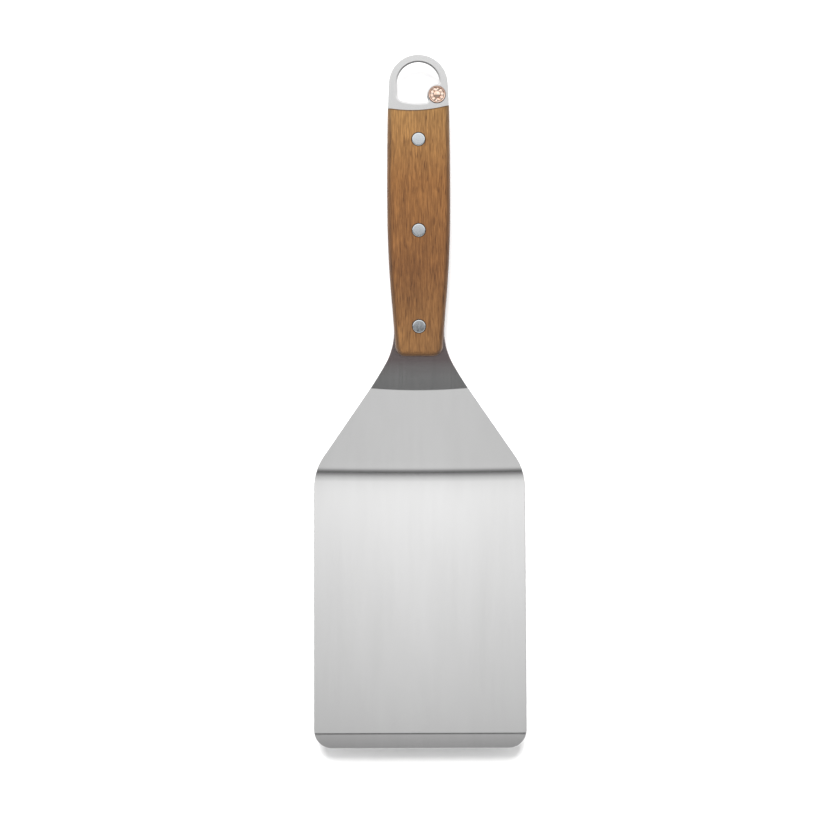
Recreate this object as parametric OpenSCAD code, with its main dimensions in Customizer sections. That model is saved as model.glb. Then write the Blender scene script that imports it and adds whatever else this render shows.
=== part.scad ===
// Grill spatula: a one-piece steel blade and full tang with a hanging loop, two wood
// scales, three two-part rivets and a round badge on the loop.
// The spatula lies on z = 0, on the heel of its blade and on its lower scale. The blade
// points to -Y and the loop to +Y. Lengths along Y are measured from the heel bend and
// everything is then moved so that the origin is under the middle of the whole length.

/* [Blade] */
// Width of the blade
blade_w = 116; // [100:1:130]
// Length from the heel bend to the front edge, seen from above
blade_len = 151; // [110:1:180]
// Radius of the two front corners, seen from above
corner_r = 10; // [4:0.5:14]
// Radius where the blade's sides turn into the shoulder's sides
shoulder_r = 28.5; // [20:0.5:35]
// Rise of the blade towards its front edge while the handle lies level, in degrees
blade_rise = 5.5; // [3:0.5:10]
// Width of the bevel ground along the front edge
bevel_w = 8; // [5:0.5:10]
// Thickness left at the front edge
edge_t = 0.6; // [0.4:0.1:1]

/* [Sheet steel] */
// Thickness of the sheet
sheet_t = 1.2; // [1:0.1:2]
// Fall of the shoulder from the neck to the heel, in degrees
shoulder_fall = 12.5; // [10:0.5:14]
// Distance from the heel bend to the neck bend
shoulder_len = 44; // [40:1:50]
// Radius of the heel bend at the middle of the sheet
heel_bend_r = 30; // [20:1:35]
// Radius of the neck bend at the middle of the sheet
neck_bend_r = 6; // [4:0.5:10]

/* [Neck outline] */
// Half the width of the neck where it is narrowest
neck_half_w = 13.75; // [13:0.05:14.5]
// Distance from the heel bend to the narrowest place
neck_y = 77; // [74:0.5:80]
// Radius of the flare below the narrowest place
flare_r = 37; // [30:1:42]
// Radius of the long curve that follows the flare
flank_r = 240; // [150:10:300]
// Angle of the shoulder's sides to the long axis
flank_angle = 34.8; // [33:0.1:37]

/* [Loop] */
// Outer radius of the loop
loop_r = 16.2; // [15.5:0.1:16.5]
// Distance from the heel bend to the centre of the loop's outer arc
loop_y = 211.8; // [210:0.1:214]
// Radius of the loop's opening
opening_r = 11.7; // [10.5:0.1:12]
// Distance from the loop's centre up to the opening's centre
opening_rise = 0.2; // [0:0.1:1.5]
// Distance from the opening's centre down to its lowest point
opening_depth = 10.5; // [9.5:0.1:11.2]
// Radius of the opening's lower corners
opening_corner_r = 4; // [3:0.1:5]
// Radius of the opening's shallow lower edge
opening_floor_r = 36; // [30:1:60]
// Radius of the boss that carries the badge
boss_r = 5.7; // [5.4:0.1:6]
// Place of the boss across the loop
boss_x = 10.2; // [10:0.1:10.6]
// Distance from the heel bend to the boss
boss_y = 206.1; // [205.6:0.1:206.6]
// Radius of the fillets where the boss meets the edge of the opening
boss_fillet_r = 1.2; // [0.6:0.1:1.8]

/* [Handle] */
// Distance from the heel bend to the lower end of the scales
scale_start = 63; // [61:0.5:64]
// Distance from the heel bend to the deepest point of the scales' hollow upper end
scale_end = 196.7; // [195:0.1:197.5]
// Place across the handle of that deepest point
scale_end_x = -3.3; // [-4:0.1:4]
// Radius of the hollow upper end, seen from above
scale_end_r = 72; // [60:1:120]
// Radius of the two lower corners, seen from above
scale_corner_r = 5; // [4:0.5:7]
// Radius rounding the long edges and the lower end
scale_edge_r = 3; // [2:0.25:4]
// Radius of the crown across a scale
crown_r = 150; // [100:10:300]

/* [Rivets] */
// Distance from the heel bend to the rivet nearest the blade
neck_end_rivet_y = 79; // [74:0.1:90]
// Distance from the heel bend to the middle rivet
middle_rivet_y = 131.3; // [110:0.1:150]
// Distance from the heel bend to the rivet nearest the loop
loop_end_rivet_y = 180.8; // [170:0.1:186]
// Radius of a rivet head
rivet_head_r = 3.6; // [3:0.1:4]
// Depth of the seat that a head sits in
rivet_seat_depth = 3; // [2:0.25:4]
// Radius of the tubular half
rivet_barrel_r = 2.4; // [2:0.1:2.6]
// Radius of the solid half's pin
rivet_pin_r = 1.6; // [1.3:0.05:1.7]
// Radius of the dome on a rivet head
rivet_dome_r = 30; // [20:1:60]

/* [Badge] */
// Radius of the badge
badge_r = 4.8; // [4.4:0.1:5]
// Height of the badge's rim over the steel
badge_t = 1.1; // [0.8:0.1:1.5]
// Radius of the stud that holds the badge
badge_stud_r = 1.2; // [1:0.1:1.5]

/* [Hidden] */

$fn = 96;
rivet_ys = [neck_end_rivet_y, middle_rivet_y, loop_end_rivet_y];
fit = 0.05;         // clearance of a shank in its hole
head_gap = 0.1;     // clearance round a rivet head in its seat
press = 0.01;       // clearance of a pin in its barrel
arc_step = 3;       // degrees between two points of an arc
station_step = 4;   // spacing of the handle's cross-sections along Y
over = 10;          // how far a cutting or crossing body runs past what it cuts

// Side view. The heel's lowest fibre lies on z = 0, and the sheet is followed from the
// loop (+Y) to the front edge (-Y) along its middle.
heel_z = heel_bend_r + sheet_t / 2;  // height of the heel bend's centre
slope_end = [heel_bend_r * sin(shoulder_fall), heel_z - heel_bend_r * cos(shoulder_fall)];
tang_z = slope_end[1] + (shoulder_len - slope_end[0]) * tan(shoulder_fall);
neck_back = neck_bend_r * tan(shoulder_fall / 2);
tang_bottom = tang_z - sheet_t / 2;
tang_top = tang_z + sheet_t / 2;
scale_t = tang_bottom;               // the lower scale reaches down to z = 0
handle_t = 2 * scale_t + sheet_t;

// Plan view
half_w = blade_w / 2;
loop_top = loop_y + loop_r;
origin_y = (loop_top - blade_len) / 2;
opening_y = loop_y + opening_rise;
flare_end_angle = 30;
flare_start_angle = -4.5;            // the handle's sides close in at this angle

// Half the width of the handle at some distances from the heel bend
handle_side = [[60, 12.5], [80, 13.86], [105, 15.85], [128, 16.95], [150, 17.2],
               [175, 17.1], [200, 16.72], [204, 16.5]];

function reverse(list) = [for (i = [len(list) - 1 : -1 : 0]) list[i]];
// Evenly spaced values from one to the other, at most a step apart
function steps(from, to, step) =
    let (n = max(1, ceil(abs(to - from) / step)))
    [for (i = [0 : n]) from + (to - from) * i / n];
function arc(centre, r, from, to) =
    [for (a = steps(from, to, arc_step)) centre + r * [cos(a), sin(a)]];
function catmull(a, b, c, d, t) =
    0.5 * (2 * b + (c - a) * t + (2 * a - 5 * b + 4 * c - d) * t * t
           + (3 * b - a - 3 * c + d) * t * t * t);

// Half the width of the handle at y, a smooth curve through handle_side
function handle_half(y) =
    let (last = len(handle_side) - 2,
         i = max([for (k = [0 : last]) if (k == 0 || handle_side[k][0] <= y) k]),
         p = [for (k = [i - 1 : i + 2]) handle_side[min(max(k, 0), last + 1)]],
         t = (y - p[1][0]) / (p[2][0] - p[1][0]))
    catmull(p[0][1], p[1][1], p[2][1], p[3][1], t);

// Outline of the right half of the sheet, from the front edge up to the loop
function steel_side() =
    let (flare_centre = [neck_half_w + flare_r, neck_y],
         flare_end = flare_centre - flare_r * [cos(flare_end_angle), sin(flare_end_angle)],
         flank_centre = flare_end + flank_r * [cos(flare_end_angle), sin(flare_end_angle)],
         flank_end = flank_centre - flank_r * [cos(flank_angle), sin(flank_angle)],
         reach = flank_end[0] - half_w + shoulder_r,
         shoulder_y = flank_end[1] - (shoulder_r - reach * cos(flank_angle)) / sin(flank_angle),
         handle_from = neck_y - flare_r * sin(flare_start_angle) + station_step,
         side_end = [handle_half(scale_end), scale_end],
         to_side = side_end - [0, loop_y],
         tangent = acos(loop_r / norm(to_side)) + atan2(to_side[1], to_side[0]))
    concat(arc([half_w - corner_r, corner_r - blade_len], corner_r, -90, 0),
           arc([half_w - shoulder_r, shoulder_y], shoulder_r, 0, flank_angle),
           arc(flank_centre, -flank_r, flank_angle, flare_end_angle),
           arc(flare_centre, -flare_r, flare_end_angle, flare_start_angle),
           [for (y = [handle_from : station_step : scale_end]) [handle_half(y), y]],
           [side_end],
           arc([0, loop_y], loop_r, tangent, 90));

module mirrored_outline(side) {
    polygon(concat(side, reverse([for (p = side) [-p[0], p[1]]])));
}

// Middle line of the sheet seen from the side: [y, z, fall towards the front in degrees]
function sheet_line() =
    let (front = blade_len + over,
         neck_centre = [shoulder_len + neck_back, tang_z - neck_bend_r])
    concat([[loop_top + over, tang_z, 0]],
           [for (a = steps(0, shoulder_fall, arc_step))
                [neck_centre[0] - neck_bend_r * sin(a), neck_centre[1] + neck_bend_r * cos(a), a]],
           [for (a = concat(steps(shoulder_fall, 0, arc_step / 4), steps(0, -blade_rise, arc_step / 4)))
                [heel_bend_r * sin(a), heel_z - heel_bend_r * cos(a), a]],
           [[-front, heel_z - heel_bend_r * cos(blade_rise)
                     + (front - heel_bend_r * sin(blade_rise)) * tan(blade_rise), -blade_rise]]);

// The middle line moved across the sheet by d, upwards for a positive d
function sheet_face(d) = [for (p = sheet_line()) [p[0] - d * sin(p[2]), p[1] + d * cos(p[2])]];

// Runs a side view drawn in [y, z] across the whole width, centred on x = 0
module across(width) {
    rotate([90, 0, 90]) translate([0, 0, -width / 2]) linear_extrude(width) children();
}

// The opening: a round top, straight sides and a shallow lower edge between two rounded
// corners. The boss covers one of the corners.
module opening_outline() {
    floor_centre = [0, opening_y - opening_depth + opening_floor_r];
    corner_x = opening_r - opening_corner_r;
    corner_y = floor_centre[1] - sqrt(pow(opening_floor_r - opening_corner_r, 2) - pow(corner_x, 2));
    turn = asin(corner_x / (opening_floor_r - opening_corner_r));
    lower_side = concat(arc([corner_x, corner_y], opening_corner_r, 0, turn - 90),
                        arc(floor_centre, opening_floor_r, turn - 90, -90));
    offset(r = boss_fillet_r) offset(delta = -boss_fillet_r) difference() {
        polygon(concat(arc([0, opening_y], opening_r, 180, 0), lower_side,
                       reverse([for (p = lower_side) [-p[0], p[1]]])));
        translate([boss_x, boss_y]) circle(boss_r);
    }
}

// Ground away to leave the bevel: everything above a plane that falls to the front edge
module bevel_cut() {
    edge_z = heel_z - heel_bend_r * cos(blade_rise)
             + (blade_len - heel_bend_r * sin(blade_rise)) * tan(blade_rise);
    fall = atan((sheet_t - edge_t) / bevel_w);
    translate([-blade_w, -blade_len, edge_z - sheet_t / 2 + edge_t])
        rotate([fall - blade_rise, 0, 0])
            translate([0, -over, 0]) cube([2 * blade_w, 3 * over, over]);
}

module blade_and_tang() {
    color("silver") translate([0, -origin_y, 0]) difference() {
        intersection() {
            linear_extrude(4 * over) mirrored_outline(steel_side());
            across(2 * blade_w)
                polygon(concat(sheet_face(sheet_t / 2), reverse(sheet_face(-sheet_t / 2))));
        }
        bevel_cut();
        translate([0, 0, tang_bottom - over / 2]) linear_extrude(over) opening_outline();
        for (y = rivet_ys)
            translate([0, y, tang_bottom - over / 2]) cylinder(r = rivet_barrel_r + fit, h = over);
        translate([boss_x, boss_y, tang_bottom - over / 2])
            cylinder(r = badge_stud_r + fit, h = over);
    }
}

// Cross-section of a scale as points [x, z], from its right edge over the crown to its left
function scale_section(w, h) =
    let (round_x = w - scale_edge_r,
         lean = asin(round_x / (crown_r - scale_edge_r)),
         round_z = h - crown_r + (crown_r - scale_edge_r) * cos(lean),
         corner = [for (k = [0 : 4]) let (a = (90 - lean) * k / 4)
                      [round_x + scale_edge_r * cos(a), round_z + scale_edge_r * sin(a)]],
         crown = [for (k = [1 : 3]) let (a = lean * (1 - k / 4))
                      [crown_r * sin(a), h - crown_r + crown_r * cos(a)]],
         right = concat([[w, 0]], corner, crown))
    concat(right, [[0, h]], reverse([for (p = right) [-p[0], p[1]]]));

// How far a round edge of radius r lies inside its corner, at a distance from the end
function rounding(r, from_end) =
    from_end >= r ? 0 : r - sqrt(max(0, r * r - pow(r - from_end, 2)));

function scale_ring(y) =
    let (from_end = y - scale_start,
         w = handle_half(y) - rounding(scale_corner_r, from_end),
         h = scale_t - rounding(scale_edge_r, from_end))
    [for (p = scale_section(w, h)) [p[0], y, p[1]]];

// One scale lying on z = 0, its flat side down, without its holes
module scale_blank() {
    near_end = [for (k = [0 : 5]) scale_corner_r * (1 - cos(18 * k))];
    ys = concat([for (d = near_end) scale_start + d],
                [for (y = [scale_start + scale_corner_r + station_step : station_step : scale_end])
                     y],
                [scale_end + station_step]);
    rings = [for (y = ys) scale_ring(y)];
    n = len(rings[0]);
    last = len(rings) - 1;
    points = [for (ring = rings) each ring];
    sides = [for (i = [0 : last - 1], j = [0 : n - 1])
                 let (a = i * n + j, b = i * n + (j + 1) % n) each [[a, a + n, b], [b, a + n, b + n]]];
    difference() {
        polyhedron(points, concat(sides, [[for (j = [0 : n - 1]) j]],
                                  [[for (j = [n - 1 : -1 : 0]) last * n + j]]));
        translate([scale_end_x, scale_end + scale_end_r, -1])
            cylinder(r = scale_end_r, h = scale_t + 2, $fn = 360);
    }
}

module drilled_scale() {
    difference() {
        scale_blank();
        for (y = rivet_ys) translate([0, y, 0]) {
            translate([0, 0, -1]) cylinder(r = rivet_barrel_r + fit, h = scale_t + 2);
            translate([0, 0, scale_t - rivet_seat_depth])
                cylinder(r = rivet_head_r + head_gap, h = rivet_seat_depth + 1);
        }
    }
}

module top_scale() {
    color("peru") translate([0, -origin_y, tang_top]) drilled_scale();
}

module bottom_scale() {
    color("peru") translate([0, -origin_y, tang_bottom]) mirror([0, 0, 1]) drilled_scale();
}

// Half the outline of a rivet head whose dome touches z = 0 and which reaches down to
// its seat, followed by the points of its shank
function rivet_outline(shank) =
    let (rim = asin(rivet_head_r / rivet_dome_r))
    concat(reverse([for (k = [0 : 4]) let (a = rim * k / 4)
                        [rivet_dome_r * sin(a), rivet_dome_r * (cos(a) - 1)]]),
           shank, [[rivet_head_r, -rivet_seat_depth]]);

// The tubular half of a rivet, its head flush with the top scale
module rivet_barrel(y) {
    foot = rivet_seat_depth - handle_t + fit;
    color("gainsboro") translate([0, y - origin_y, handle_t]) difference() {
        rotate_extrude() polygon(rivet_outline([[0, foot], [rivet_barrel_r, foot],
                                                [rivet_barrel_r, -rivet_seat_depth]]));
        translate([0, 0, foot - 1]) cylinder(r = rivet_pin_r + press, h = -foot - 1);
    }
}

// The solid half of a rivet, its head flush with the bottom scale
module rivet_pin(y) {
    tip = 3 * rivet_seat_depth - handle_t;
    color("gainsboro") translate([0, y - origin_y, 0]) mirror([0, 0, 1])
        rotate_extrude() polygon(rivet_outline([[0, tip], [rivet_pin_r, tip],
                                                [rivet_pin_r, -rivet_seat_depth]]));
}

// A raised rim and a centre boss round a sunk ring, on a stud headed over at the back
module badge() {
    rim = 0.7;
    sunk = badge_t - 0.35;
    centre_r = 1.9;
    back_r = 2.2;
    back_t = 0.6;
    color([0.8, 0.5, 0.36]) translate([boss_x, boss_y - origin_y, tang_top]) rotate_extrude()
        polygon([[0, badge_t - 0.1], [centre_r - 0.3, badge_t - 0.15], [centre_r, sunk],
                 [badge_r - rim - 0.2, sunk], [badge_r - rim, badge_t],
                 [badge_r - 0.25, badge_t], [badge_r, badge_t - 0.25], [badge_r, 0],
                 [badge_stud_r, 0], [badge_stud_r, -sheet_t], [back_r, -sheet_t],
                 [back_r - 0.4, -sheet_t - back_t], [0, -sheet_t - back_t]]);
}

blade_and_tang();
top_scale();
bottom_scale();
rivet_barrel(loop_end_rivet_y);  // loop_end_rivet_barrel
rivet_pin(loop_end_rivet_y);  // loop_end_rivet_pin
rivet_barrel(middle_rivet_y);  // middle_rivet_barrel
rivet_pin(middle_rivet_y);  // middle_rivet_pin
rivet_barrel(neck_end_rivet_y);  // neck_end_rivet_barrel
rivet_pin(neck_end_rivet_y);  // neck_end_rivet_pin
badge();
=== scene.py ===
"""A grill spatula lying on a pale surface, seen from straight above. Lengths are in metres."""

import math

import bpy
import numpy as np
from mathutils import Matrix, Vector
from mathutils.geometry import delaunay_2d_cdt


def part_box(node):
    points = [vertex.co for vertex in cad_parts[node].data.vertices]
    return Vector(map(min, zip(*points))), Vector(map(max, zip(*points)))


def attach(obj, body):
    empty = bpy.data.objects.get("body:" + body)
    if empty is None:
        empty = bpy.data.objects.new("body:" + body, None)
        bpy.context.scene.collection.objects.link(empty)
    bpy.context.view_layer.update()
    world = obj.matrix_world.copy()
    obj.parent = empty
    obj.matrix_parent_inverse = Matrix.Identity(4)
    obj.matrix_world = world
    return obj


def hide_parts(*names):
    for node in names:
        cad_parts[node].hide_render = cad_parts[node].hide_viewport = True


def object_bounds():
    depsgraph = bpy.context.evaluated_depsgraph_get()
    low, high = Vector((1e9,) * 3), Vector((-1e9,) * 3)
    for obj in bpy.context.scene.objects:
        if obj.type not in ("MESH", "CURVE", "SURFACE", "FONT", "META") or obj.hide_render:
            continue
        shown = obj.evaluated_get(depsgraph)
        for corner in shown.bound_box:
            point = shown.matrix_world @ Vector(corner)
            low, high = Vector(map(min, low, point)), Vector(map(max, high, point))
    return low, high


MM = 0.001

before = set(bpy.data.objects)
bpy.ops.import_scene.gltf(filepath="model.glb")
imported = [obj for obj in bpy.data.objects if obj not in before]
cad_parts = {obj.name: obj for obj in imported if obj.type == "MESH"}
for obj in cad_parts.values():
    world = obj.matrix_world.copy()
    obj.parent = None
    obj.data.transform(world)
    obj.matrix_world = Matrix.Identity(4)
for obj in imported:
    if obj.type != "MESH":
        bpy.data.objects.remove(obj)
cad_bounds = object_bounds()

# Where the CAD pieces are. The blade points to -Y and the loop to +Y.
steel_low, steel_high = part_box("blade_and_tang")
top_low, top_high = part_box("top_scale")
bottom_low, bottom_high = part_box("bottom_scale")
badge_low, badge_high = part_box("badge")
BADGE_CENTRE = (badge_low + badge_high) / 2
BADGE_R = (badge_high.x - badge_low.x) / 2

SHEET = top_low.z - bottom_high.z
TANG_MIDDLE = (top_low.z + bottom_high.z) / 2
FRONT_Y = steel_low.y
LOOP_TOP_Y = steel_high.y
HALF_BLADE = steel_high.x

# Driving dimensions of the sheet. Places along Y are measured from the heel bend.
BLADE_LENGTH = 151 * MM
HEEL_Y = FRONT_Y + BLADE_LENGTH
CORNER_R = 10 * MM
SHOULDER_R = 28.5 * MM
BLADE_RISE = math.radians(5.6)
BEVEL_W = 8 * MM
EDGE_T = 0.6 * MM
HEEL_R = 30 * MM
NECK_BEND_R = 6 * MM
NECK_BEND_Y = 44 * MM
NECK_BEND_BOW = 1.65 * MM
NECK_BEND_HALF_W = 31.6 * MM
NECK_BOW_MOST = 1.2
HEEL_BOW = 0.55 * MM
HEEL_TIGHT_END = math.radians(1.2)
HEEL_LOOSE_R = 78 * MM
HEEL_LOOSE_END = math.radians(4.8)
HEEL_EASE_L = 5 * MM
NECK_HALF_W = 13.75 * MM
NECK_Y = 77 * MM
FLARE_R = 37 * MM
FLARE_ANGLES = (math.radians(30), math.radians(-4.5))
FLANK_R = 240 * MM
FLANK_ANGLE = math.radians(34.8)
# Along the grip's side, in mm: distance from the heel bend, half the width
HANDLE_SIDE = ((60, 12.5), (80, 13.86), (105, 15.85), (128, 16.95),
               (150, 17.2), (175, 17.1), (200, 16.72), (204, 16.5))
LOOP_R = 16.2 * MM
OPENING_R = 11.7 * MM
OPENING_RISE = 0.2 * MM
OPENING_DEPTH = 10.5 * MM
OPENING_CORNER_R = 4 * MM
OPENING_FLOOR_R = 36 * MM
BOSS_R = 5.7 * MM
BOSS_FILLET_R = 1.2 * MM
EDGE_R = 0.25 * MM
# How many points the straight edges have
SIDE_EDGE_POINTS = 40
FRONT_EDGE_POINTS = 28
OPENING_SIDE_POINTS = 6

# Driving dimensions of the grip, its rivets and the badge's stud
SCALE_END = 196.7 * MM
SCALE_END_X = -3.3 * MM
SCALE_END_R = 72 * MM
SCALE_CORNER_R = 5 * MM
SCALE_EDGE_R = 3 * MM
CROWN_R = 150 * MM
RIVET_GAP = 0.16 * MM
RIVET_SEAT = 3 * MM
BARREL_R = 2.4 * MM
PIN_R = 1.6 * MM
STUD_R = 1.2 * MM
BARREL_ROOF = 2 * MM
FIT = 0.05 * MM
PRESS = 0.01 * MM
RIVET_ENDS = ("neck_end", "middle", "loop_end")

# The view: the camera's height, then the width in view and the offsets as shares of the
# spatula's length, and the turn
CAMERA_HEIGHT = 1.5
VIEW_WIDTH = 1.1951
VIEW_ASIDE = -0.0077
VIEW_ALONG = -0.0189
VIEW_TURN = math.radians(-0.18)


# ---------------------------------------------------------------- plan outlines

def spread(start, end, step):
    """Evenly spaced values from start to end, at most a step apart."""
    return np.linspace(start, end, max(1, math.ceil(abs(end - start) / step)) + 1)


def between(start, end, count):
    """That many evenly spaced values between start and end, leaving out both."""
    return np.linspace(start, end, count + 2)[1:-1]


def arc(centre, r, start, end, step=math.radians(2)):
    """Points along a circle's arc. With a negative r they lie on the circle's other side."""
    a = spread(start, end, step)
    return np.column_stack((centre[0] + r * np.cos(a), centre[1] + r * np.sin(a)))


def mirrored(points):
    """The same outline on the other side of the middle, in the opposite order."""
    return (points * (-1, 1))[::-1]


def handle_half(y):
    """Half the width of the grip at y from the heel: a smooth curve through HANDLE_SIDE."""
    side = np.array(HANDLE_SIDE) * MM
    i = int(np.clip(np.searchsorted(side[:, 0], y, "right") - 1, 0, len(side) - 2))
    p = [side[min(max(k, 0), len(side) - 1)] for k in range(i - 1, i + 3)]
    t = (y - p[1][0]) / (p[2][0] - p[1][0])
    a, b, c, d = (q[1] for q in p)
    return 0.5 * (2 * b + (c - a) * t + (2 * a - 5 * b + 4 * c - d) * t * t
                  + (3 * b - a - 3 * c + d) * t ** 3)


def steel_outline():
    """The sheet's edge, counter-clockwise from the middle of the front edge."""
    flare_centre = np.array((NECK_HALF_W + FLARE_R, NECK_Y))
    flare_start, flare_stop = FLARE_ANGLES
    toward = np.array((math.cos(flare_start), math.sin(flare_start)))
    flank_centre = flare_centre + (FLANK_R - FLARE_R) * toward
    flank_end = flank_centre - FLANK_R * np.array((math.cos(FLANK_ANGLE), math.sin(FLANK_ANGLE)))
    reach = flank_end[0] - HALF_BLADE + SHOULDER_R
    shoulder_y = flank_end[1] - (SHOULDER_R - reach * math.cos(FLANK_ANGLE)) / math.sin(FLANK_ANGLE)
    loop_y = LOOP_TOP_Y - HEEL_Y - LOOP_R
    handle_ys = spread(NECK_Y - FLARE_R * math.sin(flare_stop) + 2 * MM, SCALE_END, 2 * MM)
    side_end = np.array((handle_half(SCALE_END), SCALE_END))
    to_side = side_end - (0, loop_y)
    tangent = math.acos(LOOP_R / np.linalg.norm(to_side)) + math.atan2(to_side[1], to_side[0])
    corner = arc((HALF_BLADE - CORNER_R, CORNER_R - BLADE_LENGTH), CORNER_R, -math.pi / 2, 0)
    shoulder = arc((HALF_BLADE - SHOULDER_R, shoulder_y), SHOULDER_R, 0, FLANK_ANGLE)
    side_ys = between(corner[-1][1], shoulder[0][1], SIDE_EDGE_POINTS)
    side = np.column_stack((np.full_like(side_ys, HALF_BLADE), side_ys))
    flank_step = math.radians(0.5)
    right = np.concatenate((
        corner, side, shoulder,
        arc(flank_centre, -FLANK_R, FLANK_ANGLE, flare_start, flank_step),
        arc(flare_centre, -FLARE_R, flare_start, flare_stop)[1:],
        [(handle_half(y), y) for y in handle_ys],
        arc((0, loop_y), LOOP_R, tangent, math.pi / 2),
    ))
    front_xs = between(-corner[0][0], corner[0][0], FRONT_EDGE_POINTS)
    front = np.column_stack((front_xs, np.full_like(front_xs, -BLADE_LENGTH)))
    return thinned(np.concatenate((right, mirrored(right)[1:], front))) + (0, HEEL_Y)


def thinned(points, least=0.15 * MM):
    """The closed outline without points that lie closer than that to the one before."""
    kept = [points[0]]
    for p in points[1:]:
        if np.linalg.norm(p - kept[-1]) > least and np.linalg.norm(p - kept[0]) > least:
            kept.append(p)
    return np.array(kept)


def crossing(c1, r1, c2, r2, side):
    """One of the two points where two circles cross, to the left (1) or right (-1) of c1-c2."""
    c1, c2 = np.array(c1), np.array(c2)
    d = np.linalg.norm(c2 - c1)
    along = (d * d + r1 * r1 - r2 * r2) / (2 * d)
    off = math.sqrt(r1 * r1 - along * along)
    u = (c2 - c1) / d
    return c1 + along * u + side * off * np.array((-u[1], u[0]))


def direction(a, b):
    """The angle of the way from a to b."""
    return math.atan2(b[1] - a[1], b[0] - a[0])


def opening_outline():
    """The opening of the loop, counter-clockwise. The boss under the badge fills one corner."""
    loop_y = LOOP_TOP_Y - LOOP_R
    top = (0.0, loop_y + OPENING_RISE)
    sill = (0.0, top[1] - OPENING_DEPTH + OPENING_FLOOR_R)
    boss = (BADGE_CENTRE.x, BADGE_CENTRE.y)
    corner_x = OPENING_R - OPENING_CORNER_R
    reach = OPENING_FLOOR_R - OPENING_CORNER_R
    corner = (-corner_x, sill[1] - math.sqrt(reach ** 2 - corner_x ** 2))
    f = BOSS_FILLET_R
    upper = crossing(boss, BOSS_R + f, top, OPENING_R - f, -1)
    lower = crossing(boss, BOSS_R + f, sill, OPENING_FLOOR_R - f, 1)
    turn = direction(sill, corner)
    side_ys = between(top[1], corner[1], OPENING_SIDE_POINTS)
    side = np.column_stack((np.full_like(side_ys, -OPENING_R), side_ys))
    boss_from, boss_to = direction(boss, lower), direction(boss, upper)
    boss_from += 2 * math.pi if boss_from < boss_to else 0
    lower_from = direction(sill, lower)
    upper_from = direction(boss, upper) - math.pi
    fine = math.radians(8)
    points = np.concatenate((
        arc(top, OPENING_R, direction(top, upper), math.pi),
        side,
        arc(corner, OPENING_CORNER_R, math.pi, turn + 2 * math.pi, math.radians(5)),
        arc(sill, OPENING_FLOOR_R, turn, lower_from, math.radians(1)),
        arc(lower, f, lower_from, boss_from - math.pi, fine),
        arc(boss, BOSS_R, boss_from, boss_to, math.radians(4)),
        arc(upper, f, upper_from, direction(top, upper), fine),
    ))
    return thinned(points)


def rivet_place(end):
    """Where a rivet is along Y and the radius of its head, from its CAD node."""
    low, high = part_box(end + "_rivet_barrel")
    return (low.y + high.y) / 2, (high.y - low.y) / 2


def drilled_holes():
    """The sheet's holes for the three rivets and the badge's stud, which the pieces above cover."""
    holes = [(0.0, rivet_place(end)[0], BARREL_R + FIT) for end in RIVET_ENDS]
    holes.append((BADGE_CENTRE.x, BADGE_CENTRE.y, STUD_R + FIT))
    return [arc((x, y), r, 0, 2 * math.pi, math.radians(10))[:-1] for x, y, r in holes]


# ---------------------------------------------------------------- the sheet's side view

# The shoulder's fall is found by repetition, from a guess close to it.
FALL_GUESS = math.radians(12.5)
FALL_ROUNDS = 12


def slope_angle(run):
    """The shoulder's fall where the neck bend and the heel bend are that far apart."""
    drop = TANG_MIDDLE - SHEET / 2
    a = np.full_like(run, FALL_GUESS)
    for _ in range(FALL_ROUNDS):
        a = np.arctan((drop + HEEL_R * (1 / np.cos(a) - 1)) / run)
    return a


def blade_side_rise(past):
    """How far the sheet has risen at a distance past the tight part of the heel bend."""
    start, end, full = (math.tan(a) for a in (HEEL_TIGHT_END, HEEL_LOOSE_END, BLADE_RISE))
    loose = HEEL_LOOSE_R * (end - start)
    bent = np.minimum(past, loose)
    beyond = np.maximum(past - loose, 0)
    eased = (full - end) * HEEL_EASE_L * (1 - np.exp(-beyond / HEEL_EASE_L))
    return start * bent + bent ** 2 / (2 * HEEL_LOOSE_R) + full * beyond - eased


def neck_bow(x):
    """How far the neck bend's line lies past its own middle at x."""
    return NECK_BEND_BOW * np.minimum((x / NECK_BEND_HALF_W) ** 2, NECK_BOW_MOST)


def heel_bow(x):
    """How far the heel bend's line lies past its own middle at x."""
    return HEEL_BOW * (x / HALF_BLADE) ** 2


def sheet_middle(x, y):
    """Height of the middle of the sheet over (x, y)."""
    neck = HEEL_Y + NECK_BEND_Y + neck_bow(x)
    heel = HEEL_Y - HEEL_BOW + heel_bow(x)
    a = slope_angle(neck - heel)
    neck_centre = neck + NECK_BEND_R * np.tan(a / 2)
    slope_y = heel + HEEL_R * np.sin(a)
    slope_z = SHEET / 2 + HEEL_R * (1 - np.cos(a))
    tight_y = heel - HEEL_R * math.sin(HEEL_TIGHT_END)
    tight_z = SHEET / 2 + HEEL_R * (1 - math.cos(HEEL_TIGHT_END))
    blade = tight_z + blade_side_rise(np.maximum(tight_y - y, 0))

    def in_arc(r, offset):
        """A circle's height over its centre at an offset to the side."""
        return np.sqrt(np.maximum(r * r - offset * offset, 0))

    return np.select(
        [
            y >= neck_centre,
            y >= neck_centre - NECK_BEND_R * np.sin(a),
            y >= slope_y,
            y >= tight_y,
        ],
        [
            np.full_like(y, TANG_MIDDLE),
            TANG_MIDDLE - NECK_BEND_R + in_arc(NECK_BEND_R, neck_centre - y),
            slope_z + (y - slope_y) * np.tan(a),
            SHEET / 2 + HEEL_R - in_arc(HEEL_R, y - heel),
        ],
        blade,
    )


def gradient(height, x, y):
    """The slopes of a height along X and along Y."""
    reach = 0.005 * MM
    return ((height(x + reach, y) - height(x - reach, y)) / (2 * reach),
            (height(x, y + reach) - height(x, y - reach)) / (2 * reach))


def half_thickness(x, y):
    """Half the sheet's thickness, measured straight up."""
    dx, dy = gradient(sheet_middle, x, y)
    return SHEET / 2 * np.sqrt(1 + dx * dx + dy * dy)


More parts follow.
